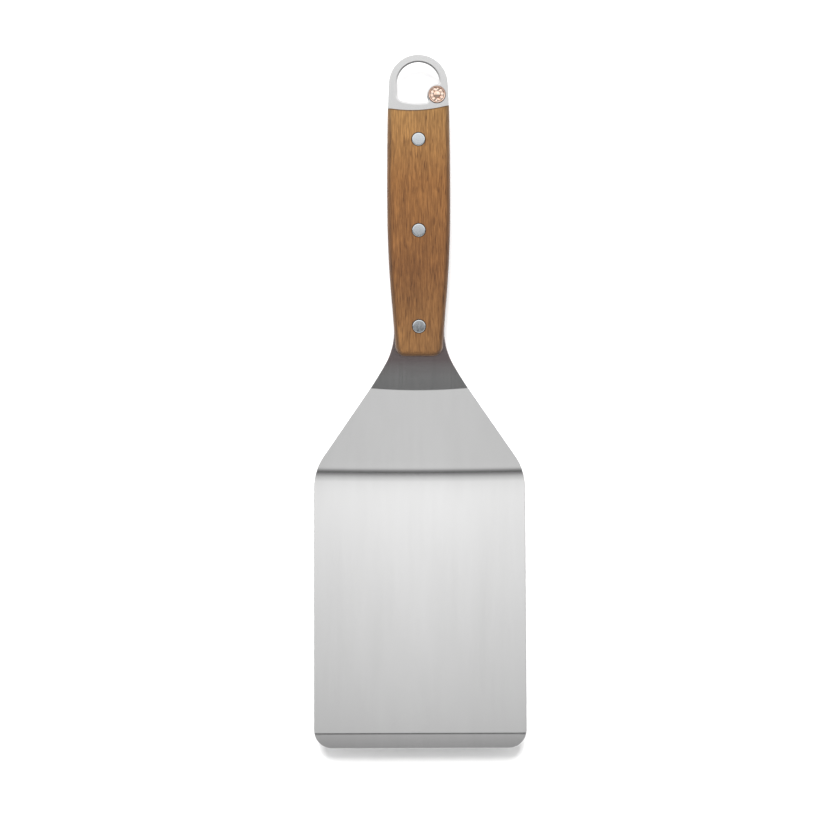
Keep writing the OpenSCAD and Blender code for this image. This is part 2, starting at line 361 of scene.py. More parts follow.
# The bevel is ground with a wheel: it starts a little steeper than it ends.
CREASE_W = 1.3 * MM
BEVEL_START = math.tan(math.radians(5.2))
BEVEL_HOLLOW = (BEVEL_START * (BEVEL_W - CREASE_W / 2) - (SHEET - EDGE_T)) / BEVEL_W ** 2


def bevel_depth(y):
    """How much the wheel took off the top at y."""
    past = (FRONT_Y + BEVEL_W + CREASE_W / 2 - y) / math.cos(BLADE_RISE)
    past = np.clip(past, 0, None)
    crease = np.where(past < CREASE_W, past ** 2 / (2 * CREASE_W), past - CREASE_W / 2)
    return BEVEL_START * crease - BEVEL_HOLLOW * crease ** 2


def sheet_top(x, y):
    """Height of the sheet's upper face."""
    return sheet_middle(x, y) + half_thickness(x, y) - bevel_depth(y)


def sheet_bottom(x, y):
    """Height of the sheet's lower face."""
    return sheet_middle(x, y) - half_thickness(x, y)


# ---------------------------------------------------------------- meshes

UV_LEAN_X = 0.37
UV_LEAN_Y = 0.21


def make_object(name, verts, faces, normals=None):
    """A smooth mesh. Its UV map is the plan, leaned a little so that upright walls have area."""
    mesh = bpy.data.meshes.new(name)
    verts = np.asarray(verts, float)
    mesh.from_pydata(verts.tolist(), [], faces)
    mesh.polygons.foreach_set("use_smooth", [True] * len(mesh.polygons))
    layer = mesh.uv_layers.new(name="plan")
    loop_verts = np.zeros(len(mesh.loops), int)
    mesh.loops.foreach_get("vertex_index", loop_verts)
    co = verts[loop_verts]
    uv = np.column_stack((co[:, 0] + UV_LEAN_X * co[:, 2], co[:, 1] + UV_LEAN_Y * co[:, 2]))
    layer.data.foreach_set("uv", uv.ravel())
    if normals is not None:
        mesh.normals_split_custom_set_from_vertices(np.asarray(normals, float).tolist())
    mesh.validate()
    obj = bpy.data.objects.new(name, mesh)
    bpy.context.scene.collection.objects.link(obj)
    return obj


def outward(points):
    """Unit normals of a closed outline, to the right of its direction of travel."""
    step = np.roll(points, -1, axis=0) - points
    step /= np.linalg.norm(step, axis=1)[:, None]
    both = step + np.roll(step, 1, axis=0)
    both /= np.linalg.norm(both, axis=1)[:, None]
    return np.column_stack((both[:, 1], -both[:, 0]))


def inside(points, outline):
    """Which points lie inside a closed outline."""
    x, y = points[:, 0], points[:, 1]
    hit = np.zeros(len(points), bool)
    for (x1, y1), (x2, y2) in zip(outline, np.roll(outline, -1, axis=0)):
        if y1 != y2:
            cut = ((y1 > y) != (y2 > y)) & (x < (x2 - x1) * (y - y1) / (y2 - y1) + x1)
            hit ^= cut
    return hit


def within(points, loops):
    """Which points lie inside the first loop and outside all of the others."""
    found = inside(points, loops[0])
    for hole in loops[1:]:
        found &= ~inside(points, hole)
    return found


GRID_CLEARANCE = 0.35 * MM


def triangulated(loops, grid):
    """Triangles over the plan within the loops, through the grid points that clear them.

    Gives the plan's points, the triangles, and where each point of the loops is among the points.
    """
    keep = within(grid, loops)
    for points in loops:
        for p in points:
            keep &= np.hypot(grid[:, 0] - p[0], grid[:, 1] - p[1]) > GRID_CLEARANCE
    plan = np.concatenate(loops + [grid[keep]])
    edges, start = [], 0
    for points in loops:
        n = len(points)
        edges += [(start + i, start + (i + 1) % n) for i in range(n)]
        start += n
    # This works in mm, which suits its tolerance.
    found = delaunay_2d_cdt([Vector(p) for p in plan * 1000], edges, [], 0, 1e-6)
    points, faces, sources = found[0], found[2], found[3]
    becomes = {i: vertex for vertex, ids in enumerate(sources) for i in ids}
    plan = np.array([plan[ids[0]] if ids else np.array(v) / 1000
                     for v, ids in zip(points, sources)])
    triangles = np.array([f for f in faces if len(f) == 3])
    return plan, triangles[within(plan[triangles].mean(axis=1), loops)], becomes


def surface(height, points, sign):
    """Points at a height over the plan, and their normals, upwards (1) or downwards (-1)."""
    x, y = points[:, 0], points[:, 1]
    dx, dy = gradient(height, x, y)
    n = np.column_stack((-dx, -dy, np.ones(len(x)))) * sign
    return np.column_stack((x, y, height(x, y))), n / np.linalg.norm(n, axis=1)[:, None]


# The rings of a rounded edge, by how far their normals rise from level
EDGE_TURNS = tuple(math.radians(a) for a in (60, 30, 0))


def plate(name, outline, holes, grid, top, bottom, edge_r, reliefs):
    """A sheet between two heights over a plan, with all of its edges rounded.

    Each relief lists (distance from the edge, drop, slope) for the deburred band of one edge.
    """
    rims = [(outline, outward(outline))] + [(h[::-1], outward(h[::-1])) for h in holes]
    loops = [points - relief[0][0] * n for (points, n), relief in zip(rims, reliefs)]
    plan, triangles, becomes = triangulated(loops, grid)
    top_co, top_n = surface(top, plan, 1)
    bottom_co, bottom_n = surface(bottom, plan, -1)
    verts, normals = [top_co, bottom_co], [top_n, bottom_n]
    count = len(plan)
    faces = triangles.tolist() + (triangles[:, ::-1] + count).tolist()
    total = 2 * count
    first = 0
    for (points, n), relief in zip(rims, reliefs):
        m = len(points)
        ids = np.array([becomes[first + i] for i in range(m)])
        first += m
        last_drop, last_slope = relief[-1][1], relief[-1][2]
        band = [(d, drop, math.pi / 2 - slope) for d, drop, slope in relief[1:]]
        band += [(edge_r * (1 - math.cos(a)), last_drop + edge_r * (1 - math.sin(a)), a)
                 for a in EDGE_TURNS if a < math.pi / 2 - last_slope]
        rings = [ids]
        for sign, height, steps in ((1, top, band), (-1, bottom, band[::-1])):
            for distance, drop, a in steps:
                off = points - distance * n
                z = height(off[:, 0], off[:, 1]) - sign * drop
                verts.append(np.column_stack((off, z)))
                rise = np.full(m, sign * math.sin(a))
                normals.append(np.column_stack((n * math.cos(a), rise)))
                rings.append(total + np.arange(m))
                total += m
        rings.append(ids + count)
        for upper, lower in zip(rings[:-1], rings[1:]):
            faces += [(int(upper[i]), int(lower[i]), int(lower[(i + 1) % m]), int(upper[(i + 1) % m]))
                      for i in range(m)]
    return make_object(name, np.concatenate(verts), faces, np.concatenate(normals))


def rows(ys, half_width, step, bend):
    """Grid points in rows across the sheet; a row may follow a bowed bend line."""
    points = []
    for y in ys:
        xs = spread(-half_width, half_width, step)
        shift = bend(xs) if bend else 0
        points.append(np.column_stack((xs, np.full(len(xs), y) + shift)))
    return np.concatenate(points)


def steel_grid():
    """Points inside the sheet's plan, close together where it bends."""
    neck = HEEL_Y + NECK_BEND_Y
    bevel = FRONT_Y + BEVEL_W
    wide = HALF_BLADE
    # Bands of rows: where they start and end along Y and the step there, half their width, the
    # step across and the bend that they follow
    bands = (
        (FRONT_Y + 0.6 * MM, bevel - 1 * MM, 0.8 * MM, wide, 4 * MM, None),
        (bevel - 0.8 * MM, bevel + 0.8 * MM, 0.13 * MM, wide, 4 * MM, None),
        (bevel + 1.5 * MM, HEEL_Y - 14 * MM, 4 * MM, wide, 4 * MM, None),
        (HEEL_Y - 12 * MM, HEEL_Y + 8 * MM, 0.5 * MM, wide, 4 * MM, heel_bow),
        (HEEL_Y + 10 * MM, neck - 4 * MM, 3 * MM, wide, 3 * MM, None),
        (neck - 1.4 * MM, neck + 1.4 * MM, 0.2 * MM, NECK_BEND_HALF_W * 1.2, 2 * MM, neck_bow),
        (neck + 4 * MM, LOOP_TOP_Y, 4 * MM, 2 * LOOP_R, 4 * MM, None),
    )
    return np.concatenate([rows(spread(start, end, step), half_width, across, bend)
                           for start, end, step, half_width, across, bend in bands])


PLAIN_EDGE = ((EDGE_R, 0.0, 0.0),)
DEBURR_W = 0.5 * MM
DEBURR_SLOPE = math.radians(4.6)
DEBURR_BLEND = 0.25 * MM


def deburred_edge():
    """A shallow ground band around the opening, eased into the flat of the sheet."""
    blend = DEBURR_BLEND
    lean = math.tan(DEBURR_SLOPE)
    start = EDGE_R + DEBURR_W
    return ((start + blend, 0.0, 0.0),
            (start + blend / 2, lean * blend / 8, DEBURR_SLOPE / 2),
            (start, lean * blend / 2, DEBURR_SLOPE),
            (EDGE_R, lean * (blend / 2 + DEBURR_W), DEBURR_SLOPE))


ON_AXIS = 1e-9


def lathe(name, profile, centre, segments=96, ripple=None):
    """Turns a profile of (radius, height) points about an upright axis, from the axis back to it."""
    profile = np.array(profile)
    angles = np.linspace(0, 2 * math.pi, segments, endpoint=False)
    verts, rings = [], []
    for r, z in profile:
        if r < ON_AXIS:
            rings.append([len(verts)])
            verts.append((centre[0], centre[1], centre[2] + z))
            continue
        lift = ripple(r, angles) if ripple else np.zeros(segments)
        rings.append(list(range(len(verts), len(verts) + segments)))
        verts += [(centre[0] + r * math.cos(a), centre[1] + r * math.sin(a), centre[2] + z + d)
                  for a, d in zip(angles, lift)]
    faces = []
    for upper, lower in zip(rings[:-1], rings[1:]):
        for i in range(segments):
            j = (i + 1) % segments
            if len(upper) == 1:
                faces.append((upper[0], lower[i], lower[j]))
            elif len(lower) == 1:
                faces.append((upper[i], lower[0], upper[j]))
            else:
                faces.append((upper[i], lower[i], lower[j], upper[j]))
    obj = make_object(name, verts, faces)
    obj.data.set_sharp_from_angle(angle=math.radians(35))
    return obj


def corner_round(r, z, radius, steps=4):
    """Profile points of a rounded top edge at radius r, whose flat top is at height z."""
    a = np.linspace(math.pi / 2, 0, steps + 1)
    return [(r - radius + radius * math.cos(t), z - radius + radius * math.sin(t)) for t in a]


# ---------------------------------------------------------------- the wood scales

def rounding(r, from_end):
    """How far a round edge of radius r lies inside its corner, at a distance from the end."""
    return 0.0 if from_end >= r else r - math.sqrt(max(0.0, r * r - (r - from_end) ** 2))


SCALE_T = bottom_high.z - bottom_low.z
SCALE_START = top_low.y - HEEL_Y
ROW_STEP = 1.25 * MM
CROWN_COLUMNS = 22


def end_y(x):
    """The hollow upper end of the scales."""
    return SCALE_END + SCALE_END_R - math.sqrt(SCALE_END_R ** 2 - (x - SCALE_END_X) ** 2)


# In a section: how many points lie on each side and on each rounded edge, which point is in the
# middle of the crown, how many the whole top has, and the first and last over the flat side's
SIDE_POINTS = 4
TURN_POINTS = 9
CROWN_MIDDLE = SIDE_POINTS + TURN_POINTS + CROWN_COLUMNS // 2 - 1
TOP_POINTS = 2 * (SIDE_POINTS + TURN_POINTS) + CROWN_COLUMNS - 1
FIRST_OVER = SIDE_POINTS + 1
LAST_OVER = TOP_POINTS - SIDE_POINTS - 2
# Half the width of the square patch that a rivet takes, in quads
PATCH = 4


def flat_under(k):
    """The number of the flat side's point under point k of the top."""
    return TOP_POINTS + LAST_OVER - k


def scale_section(w, h):
    """Cross-section as points (x, z): right edge, crown, left edge, then back along the flat."""
    r = SCALE_EDGE_R
    round_x = w - r
    lean = math.asin(round_x / (CROWN_R - r))
    round_z = h - CROWN_R + (CROWN_R - r) * math.cos(lean)
    side = [(w, z) for z in np.linspace(0, round_z, SIDE_POINTS + 1)[:-1]]
    turn = [(round_x + r * math.cos(a), round_z + r * math.sin(a))
            for a in np.linspace(0, math.pi / 2 - lean, TURN_POINTS)]
    crown_x = round_x + r * math.sin(lean)
    crown = [(x, h - CROWN_R + math.sqrt(CROWN_R ** 2 - x * x))
             for x in np.linspace(crown_x, -crown_x, CROWN_COLUMNS + 1)[1:-1]]
    left = [(-x, z) for x, z in (side + turn)[::-1]]
    top = side + turn + crown + left
    flat = [(x, 0) for x, _ in top[FIRST_OVER:LAST_OVER + 1]][::-1]
    return np.array(top + flat)


def end_cap(ring):
    """Upright strips over one end of a scale, so that a curved end stays curved."""
    faces = [(*ring[:FIRST_OVER + 1], ring[flat_under(FIRST_OVER)])]
    faces += [(ring[k], ring[k + 1], ring[flat_under(k + 1)], ring[flat_under(k)])
              for k in range(FIRST_OVER, LAST_OVER)]
    return faces + [(*ring[LAST_OVER:TOP_POINTS], ring[flat_under(LAST_OVER)])]


def crown_height(x, y):
    """The crown's height over the flat side."""
    from_end = y - SCALE_START
    return SCALE_T - rounding(SCALE_EDGE_R, from_end) - CROWN_R + math.sqrt(CROWN_R ** 2 - x * x)


# The rows round the lower corners, and how far before the upper end the evenly spaced ones stop
CORNER_ROWS = 14
LAST_PLAIN_ROW = 1.2 * MM
# The rows at the upper end, in mm: how far before it they are and how far they are sunk
END_ROWS = ((0.5, 0), (0.15, 0.06), (0, 0.28))
# The length over which the rows take up the hollow of the upper end
HOLLOW_L = 12 * MM


def scale_rows():
    """Where a scale's sections are, measured from the heel bend, and how far each is sunk."""
    near = [SCALE_START + SCALE_CORNER_R * (1 - math.cos(t))
            for t in np.linspace(0, math.pi / 2, CORNER_ROWS)]
    plain = spread(near[-1], SCALE_END - LAST_PLAIN_ROW, ROW_STEP)[1:]
    ys = np.concatenate((near, plain, [SCALE_END - before * MM for before, _ in END_ROWS]))
    sinks = np.zeros(len(ys))
    sinks[-len(END_ROWS):] = [sunk * MM for _, sunk in END_ROWS]
    return ys, sinks


def swept_sections(ys, sinks):
    """The points of all sections of a scale, and which of them belong to each section."""
    points, grid = [], []
    for y, sink in zip(ys, sinks):
        from_end = y - SCALE_START
        w = handle_half(y) - rounding(SCALE_CORNER_R, from_end)
        h = SCALE_T - rounding(SCALE_EDGE_R, from_end)
        section = scale_section(w - sink, h - sink)
        shift = max(0.0, (y - SCALE_END + HOLLOW_L) / HOLLOW_L)
        grid.append(range(len(points), len(points) + len(section)))
        points += [(x, y + shift * (end_y(x) - SCALE_END), z) for x, z in section]
    return np.array(points), grid


# The rings between a seat's rim and its patch's border, as shares of that way, and the same for
# the bore's end in the flat side
SEAT_RINGS = (0.55, 0.25, 0.08, 0.0)
BORE_RING = 0.4
SEAT_RIM_SINK = 0.1 * MM


def wood_scale(name, flat_z, up):
    """One scale on the plane z = flat_z, crowned upwards or downwards, with open rivet seats."""
    ys, sinks = scale_rows()
    verts, grid = swept_sections(ys, sinks)
    n = len(grid[0])
    quads = {(i, j): (grid[i][j], grid[i][(j + 1) % n], grid[i + 1][(j + 1) % n], grid[i + 1][j])
             for i in range(len(grid) - 1) for j in range(n)}
    extra, faces = [], []

    def add_ring(points):
        """Adds points and gives their numbers."""
        start = len(verts) + len(extra)
        extra.extend(points)
        return list(range(start, start + len(points)))

    def patch_border(row, column):
        """Takes a square patch out of the quads and gives its border, in order."""
        steps = range(-PATCH, PATCH)
        for i in steps:
            for j in steps:
                del quads[(row + i, column + j)]
        return ([grid[row - PATCH][column + i] for i in steps]
                + [grid[row + i][column + PATCH] for i in steps]
                + [grid[row + PATCH][column - i] for i in steps]
                + [grid[row - i][column - PATCH] for i in steps])

    def join(rings):
        """Fills the way between each ring and the next with quads."""
        for outer, inner in zip(rings[:-1], rings[1:]):
            m = len(outer)
            faces.extend((outer[i], outer[(i + 1) % m], inner[(i + 1) % m], inner[i]) for i in range(m))

    for end in RIVET_ENDS:
        rivet_y, head_r = rivet_place(end)
        centre = np.array((0.0, rivet_y - HEEL_Y))
        seat_r = head_r + RIVET_GAP
        bore_r = BARREL_R + FIT
        row = int(np.argmin(np.abs(ys - centre[1])))
        border = patch_border(row, CROWN_MIDDLE)
        away = verts[border][:, :2] - centre
        ways = away / np.linalg.norm(away, axis=1)[:, None]
        rings = [border]
        for part in SEAT_RINGS:
            plan = centre + seat_r * ways + part * (away - seat_r * ways)
            sink = SEAT_RIM_SINK if part == 0 else 0
            rings.append(add_ring([(x, y, crown_height(x, y) - sink) for x, y in plan]))
        for r, z in ((seat_r, SCALE_T - RIVET_SEAT), (bore_r, SCALE_T - RIVET_SEAT), (bore_r, 0)):
            rings.append(add_ring([(x, y, z) for x, y in centre + r * ways]))
        join(rings)
        # The same bore where it leaves through the flat side
        under = patch_border(row, flat_under(CROWN_MIDDLE))
        plans = verts[under][:, :2]
        turned = [int(np.argmin(np.hypot(*(verts[border][:, :2] - p).T))) for p in plans]
        foot = [rings[-1][k] for k in turned]
        away = plans - centre
        rim = centre + bore_r * away / np.linalg.norm(away, axis=1)[:, None]
        halfway = add_ring([(x, y, 0) for x, y in rim + BORE_RING * (plans - rim)])
        join([under, halfway, foot])
    faces += list(quads.values())
    faces += [f[::-1] for f in end_cap(list(grid[0]))] + end_cap(list(grid[-1]))
    verts = np.concatenate((verts, extra))
    verts[:, 1] += HEEL_Y
    verts[:, 2] = flat_z + (verts[:, 2] if up else -verts[:, 2])
    if up:
        faces = [f[::-1] for f in faces]
    obj = make_object(name, verts, faces)
    obj.data.set_sharp_from_angle(angle=math.radians(32))
    return obj


# ---------------------------------------------------------------- materials

def new_material(name):
    """A material, its node tree and its shader."""
    material = bpy.data.materials.new(name)
    material.use_nodes = True
    tree = material.node_tree
    shader = tree.nodes["Principled BSDF"]
    return material, tree, shader


def feed(tree, socket, value):
    """Links an input to another node's output, or gives it a constant."""
    if isinstance(value, bpy.types.NodeSocket):
        tree.links.new(value, socket)
    elif socket.type == "RGBA":
        socket.default_value = (*value, 1)
    else:
        socket.default_value = value


def node(tree, kind, settings=(), **inputs):
    """A node with its settings as attributes and its inputs given by name, or as i0, i1, ..."""
    made = tree.nodes.new(kind)
    for key, value in dict(settings).items():
        setattr(made, key, value)
    for key, value in inputs.items():
        numbered = key[0] == "i" and key[1:].isdigit()
        feed(tree, made.inputs[int(key[1:]) if numbered else key], value)
    return made


def math_node(tree, operation, a, b=0.0, c=0.0):
    """The result of a Math node."""
    return node(tree, "ShaderNodeMath", {"operation": operation}, i0=a, i1=b, i2=c).outputs[0]


def ramp(tree, value, stops, interpolation="LINEAR"):
    """Turns a value into a colour or grey level, from (value, colour) stops."""
    made = node(tree, "ShaderNodeValToRGB", i0=value)
    made.color_ramp.interpolation = interpolation
    elements = made.color_ramp.elements
    while len(elements) < len(stops):
        elements.new(0.5)
    for element, (position, colour) in zip(elements, stops):
        element.position = position
        grey = isinstance(colour, (int, float))
        element.color = (colour, colour, colour, 1) if grey else (*colour, 1)
    return made.outputs[0]


def stretched_noise(tree, scale, stretch, detail=3.0, offset=(0, 0, 0), rough=0.5):
    """Noise in object space whose marks are stretch times as long as they are wide, along Y."""
    where = node(tree, "ShaderNodeTexCoord").outputs["Object"]
    mapping = node(tree, "ShaderNodeMapping", Vector=where, Scale=(1, 1 / stretch, 1), Location=offset)
    return node(tree, "ShaderNodeTexNoise", Vector=mapping.outputs[0], Scale=scale, Detail=detail,
                Roughness=rough).outputs["Fac"]


# A Mix node has separate sockets for each kind of data, and these are the ones for colours.
MIX_A, MIX_B, MIX_RESULT = 6, 7, 2


def mix(tree, factor, a, b, kind="MIX"):
    """Mixes colour b into colour a by a factor."""
    made = node(tree, "ShaderNodeMix", {"data_type": "RGBA", "blend_type": kind}, i0=factor)
    feed(tree, made.inputs[MIX_A], a)
    feed(tree, made.inputs[MIX_B], b)
    return made.outputs[MIX_RESULT]


# The painted shade and reflection of the wood on the steel by the grip: how far it reaches before and
# past the wood's lower end
GRIP_SHADE_BEFORE = 12 * MM
GRIP_SHADE_PAST = 24 * MM


def brushed_steel():
    """Sheet steel brushed along its length, with dull cut edges, painted shade towards its long sides
    and a painted brown shade and reflection of the wood by the grip.
    """
    material, tree, shader = new_material("brushed_steel")
    streaks = stretched_noise(tree, 2600, 90, 4, rough=0.65)
    bands = stretched_noise(tree, 120, 30, 2, offset=(0.3, 0, 0))
    blotches = stretched_noise(tree, 45, 2.5, 2, offset=(0, 0.4, 0))
    tone = math_node(tree, "ADD", math_node(tree, "MULTIPLY", streaks, 0.40),
                     math_node(tree, "MULTIPLY", bands, 0.35))
    tone = math_node(tree, "ADD", tone, math_node(tree, "MULTIPLY", blotches, 0.25))
    colour = ramp(tree, tone, ((0.3, (0.692, 0.690, 0.690)), (0.5, (0.72, 0.719, 0.719)),
                               (0.7, (0.748, 0.748, 0.748))))
    where = node(tree, "ShaderNodeTexCoord").outputs["Object"]
    place_xyz = node(tree, "ShaderNodeSeparateXYZ", Vector=where)
    across = math_node(tree, "MULTIPLY_ADD", place_xyz.outputs["X"], 0.5 / HALF_BLADE, 0.5)
    # Painted shade: the steel gets darker towards both long sides, standing in for its reflection
    # falling off there.
    painted_shade_across = ramp(tree, across, ((0.0, 0.91), (0.25, 0.98), (0.45, 1.0), (0.7, 0.985), (1.0, 0.94)),
                "B_SPLINE")
    colour = mix(tree, 1.0, colour, painted_shade_across, "MULTIPLY")
    by_grip = node(tree, "ShaderNodeMapRange", Value=place_xyz.outputs["Y"], **{
        "From Min": top_low.y - GRIP_SHADE_BEFORE, "From Max": top_low.y + GRIP_SHADE_PAST}).outputs[0]
    # Painted shade and reflection of the wood: the steel is darker and browner just below the grip's
    # lower end.
    painted_grip_shade = ramp(tree, by_grip, ((0.0, 0.0), (0.167, 0.32), (0.283, 0.75), (0.333, 0.75),
                                (0.667, 0.6), (1.0, 0.0)))
    colour = mix(tree, painted_grip_shade, colour, (0.58, 0.44, 0.45), "MULTIPLY")
    upright = node(tree, "ShaderNodeSeparateXYZ",
                   Vector=node(tree, "ShaderNodeNewGeometry").outputs["Normal"]).outputs["Z"]
    cut_edge = ramp(tree, math_node(tree, "ABSOLUTE", upright), ((0.2, 1.0), (0.8, 0.0)))
    colour = mix(tree, cut_edge, colour, (0.42, 0.42, 0.43), "MULTIPLY")
    tree.links.new(colour, shader.inputs["Base Color"])
    brushed = ramp(tree, streaks, ((0.3, 0.185), (0.7, 0.215)))
    tree.links.new(mix(tree, cut_edge, brushed, (0.42, 0.42, 0.42)), shader.inputs["Roughness"])
    bump = node(tree, "ShaderNodeBump", Strength=0.12, Distance=0.00002, Height=streaks)
    tree.links.new(bump.outputs[0], shader.inputs["Normal"])
    tangent = node(tree, "ShaderNodeTangent", {"direction_type": "UV_MAP", "uv_map": "plan"})
    tree.links.new(tangent.outputs[0], shader.inputs["Tangent"])
    shader.inputs["Metallic"].default_value = 1.0
    shader.inputs["Anisotropic"].default_value = 0.95
    return material


def rivet_steel():
    """Turned steel, a little blue."""
    material, tree, shader = new_material("rivet_steel")
    grain = stretched_noise(tree, 900, 1.5, 3)
    tree.links.new(ramp(tree, grain, ((0.3, (0.675, 0.715, 0.745)), (0.7, (0.735, 0.775, 0.805)))),
                   shader.inputs["Base Color"])
    tree.links.new(ramp(tree, grain, ((0.3, 0.11), (0.7, 0.17))), shader.inputs["Roughness"])
    bump = node(tree, "ShaderNodeBump", Strength=0.1, Distance=0.00002, Height=grain)
    tree.links.new(bump.outputs[0], shader.inputs["Normal"])
    shader.inputs["Metallic"].default_value = 1.0
    return material


def copper():
    """Pale copper with patina in its grooves and painted shade around its edge."""
    material, tree, shader = new_material("badge_copper")
    where = node(tree, "ShaderNodeTexCoord").outputs["Object"]
    grain = stretched_noise(tree, 700, 1.2, 4)
    plain = ramp(tree, grain, ((0.25, (0.84, 0.52, 0.37)), (0.55, (0.97, 0.74, 0.61)),
                               (0.8, (1.0, 0.88, 0.82))))
    away = math_node(tree, "DIVIDE", ring_distance(tree, where, BADGE_CENTRE), BADGE_R)
    # Patina in the two grooves; the band at the outer edge is painted shade, the badge's dark outline.
    patina_and_rim_shade = ramp(tree, away, ((0.36, 0.0), (0.41, 0.7), (0.46, 0.0), (0.73, 0.0), (0.78, 0.9),
                               (0.83, 0.0), (0.91, 0.0), (0.95, 1.0)))
    colour = mix(tree, patina_and_rim_shade, plain, (0.22, 0.13, 0.10), "MULTIPLY")
    tree.links.new(colour, shader.inputs["Base Color"])
    tree.links.new(ramp(tree, grain, ((0.3, 0.10), (0.7, 0.17))), shader.inputs["Roughness"])
    bump = node(tree, "ShaderNodeBump", Strength=0.12, Distance=0.00003, Height=grain)
    tree.links.new(bump.outputs[0], shader.inputs["Normal"])
    shader.inputs["Metallic"].default_value = 1.0
    return material


def ring_distance(tree, where, centre):
    """Distance in plan from an upright axis."""
    plan = node(tree, "ShaderNodeVectorMath", {"operation": "MULTIPLY"}, i0=where, i1=(1, 1, 0))
    away = node(tree, "ShaderNodeVectorMath", {"operation": "DISTANCE"},
                i0=plan.outputs[0], i1=(centre.x, centre.y, 0))
    return away.outputs["Value"]


def crevices(tree, where):
    """Dark wood in a thin band close around each rivet and along the upper end."""
    found = []
    for end in RIVET_ENDS:
        rivet_y, head_r = rivet_place(end)
        edge = head_r + RIVET_GAP
        away = ring_distance(tree, where, Vector((0, rivet_y, 0)))
        found.append(node(tree, "ShaderNodeMapRange", Value=away, **{
            "From Min": edge, "From Max": edge + 0.3 * MM,
            "To Min": 0.8, "To Max": 0.0}).outputs[0])
    centre = Vector((SCALE_END_X, HEEL_Y + SCALE_END + SCALE_END_R, 0))
    away = ring_distance(tree, where, centre)
    found.append(node(tree, "ShaderNodeMapRange", Value=away, **{
        "From Min": SCALE_END_R + 0.15 * MM, "From Max": SCALE_END_R + 0.9 * MM,
        "To Min": 0.85, "To Max": 0.0}).outputs[0])
    return found


def wood():
    """Oiled hardwood with its grain along Y: soft figure, short dark pores, redder at the blade, with
    painted shade on its rounded sides.
    """
    material, tree, shader = new_material("handle_wood")
    where = node(tree, "ShaderNodeTexCoord").outputs["Object"]
    y = node(tree, "ShaderNodeSeparateXYZ", Vector=where).outputs["Y"]
    along = node(tree, "ShaderNodeMapRange", Value=y, **{"From Min": top_low.y, "From Max": top_high.y})
    base = ramp(tree, along.outputs[0], ((0.0, (0.168, 0.081, 0.0272)), (0.35, (0.141, 0.0590, 0.0180)),
                                         (0.7, (0.184, 0.080, 0.0230)), (1.0, (0.235, 0.124, 0.0415))))
    figure = stretched_noise(tree, 230, 5, 3, rough=0.6)
    wave = stretched_noise(tree, 75, 3, 2, offset=(0.1, 0.2, 0))
    fibre = stretched_noise(tree, 2000, 20, 3, offset=(0.5, 0, 0), rough=0.65)
    pore = stretched_noise(tree, 2600, 17, 1, offset=(0, 0.7, 0.3))
    # Painted shade and reflection: the rounded sides, where the normal leans along X, are made darker
    # and greyer.
    facing = node(tree, "ShaderNodeSeparateXYZ",
                  Vector=node(tree, "ShaderNodeNewGeometry").outputs["Normal"]).outputs["X"]
    side = ramp(tree, math_node(tree, "ABSOLUTE", facing), ((0.12, 0.0), (0.5, 0.85), (1.0, 0.5)))
    # Tints laid over each other: where they show, and what they multiply the colour by
    tints = [
        (ramp(tree, figure, ((0.36, 0.0), (0.66, 1.0))), (1.2, 1.22, 1.2)),
        (ramp(tree, wave, ((0.38, 0.6), (0.62, 0.0))), (0.80, 0.77, 0.74)),
        (ramp(tree, fibre, ((0.38, 0.9), (0.58, 0.0))), (0.66, 0.62, 0.60)),
        (ramp(tree, pore, ((0.31, 0.8), (0.41, 0.0))), (0.42, 0.36, 0.34)),
        (side, (0.50, 0.53, 0.64)),
        (ramp(tree, fibre, ((0.54, 0.0), (0.66, 0.7))), (1.32, 1.34, 1.38)),
    ]
    tints += [(dark, (0.12, 0.10, 0.10)) for dark in crevices(tree, where)]
    colour = base
    for shows, tint in tints:
        colour = mix(tree, shows, colour, tint, "MULTIPLY")
    tree.links.new(colour, shader.inputs["Base Color"])
    tree.links.new(ramp(tree, fibre, ((0.3, 0.52), (0.7, 0.40))), shader.inputs["Roughness"])
    height = math_node(tree, "ADD", fibre, math_node(tree, "MULTIPLY", pore, 1.2))
    bump = node(tree, "ShaderNodeBump", Strength=0.35, Distance=0.00006, Height=height)
    tree.links.new(bump.outputs[0], shader.inputs["Normal"])
    shader.inputs["Specular IOR Level"].default_value = 0.4
    return material


def pale_floor():
    """A matt surface, nearly white."""
    material, _, shader = new_material("pale_floor")
    shader.inputs["Base Color"].default_value = (0.93, 0.93, 0.93, 1)
    shader.inputs["Roughness"].default_value = 1.0
    shader.inputs["Specular IOR Level"].default_value = 0.0
    return material


# ---------------------------------------------------------------- the pieces

def place(piece, nodes, material):
    """Gives a piece its material, puts it under the root body and hides the CAD nodes that it stands
    for.
    """
    piece.data.materials.append(material)
    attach(piece, "root")
    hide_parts(*nodes)


STEEL, RIVET, COPPER, WOOD = brushed_steel(), rivet_steel(), copper(), wood()


def steel_sheet():
    """The blade, neck, tang and loop in one piece, with the opening and the drilled holes."""
    drilled = drilled_holes()
    reliefs = [PLAIN_EDGE, deburred_edge()] + [PLAIN_EDGE] * len(drilled)
    return plate("steel_sheet", steel_outline(), [opening_outline()] + drilled, steel_grid(),
                 sheet_top, sheet_bottom, EDGE_R, reliefs)


place(steel_sheet(), ["blade_and_tang"], STEEL)
place(wood_scale("upper_wood_scale", top_low.z, True), ["top_scale"], WOOD)
place(wood_scale("lower_wood_scale", bottom_high.z, False), ["bottom_scale"], WOOD)


RIVET_DOME = 0.018 * MM
RIVET_RIM_R = 0.35 * MM
DOME_STEPS = 10
PIN_CHAMFER = 0.2 * MM


def head_profile(head_r):
    """A rivet head's outline from the middle of its dome, whose top is at height 0, to its rim."""
    flat_r = head_r - RIVET_RIM_R
    crown = [(flat_r * k / DOME_STEPS, -RIVET_DOME * (k / DOME_STEPS) ** 2)
             for k in range(DOME_STEPS)]
    return crown + corner_round(head_r, -RIVET_DOME, RIVET_RIM_R, steps=6)


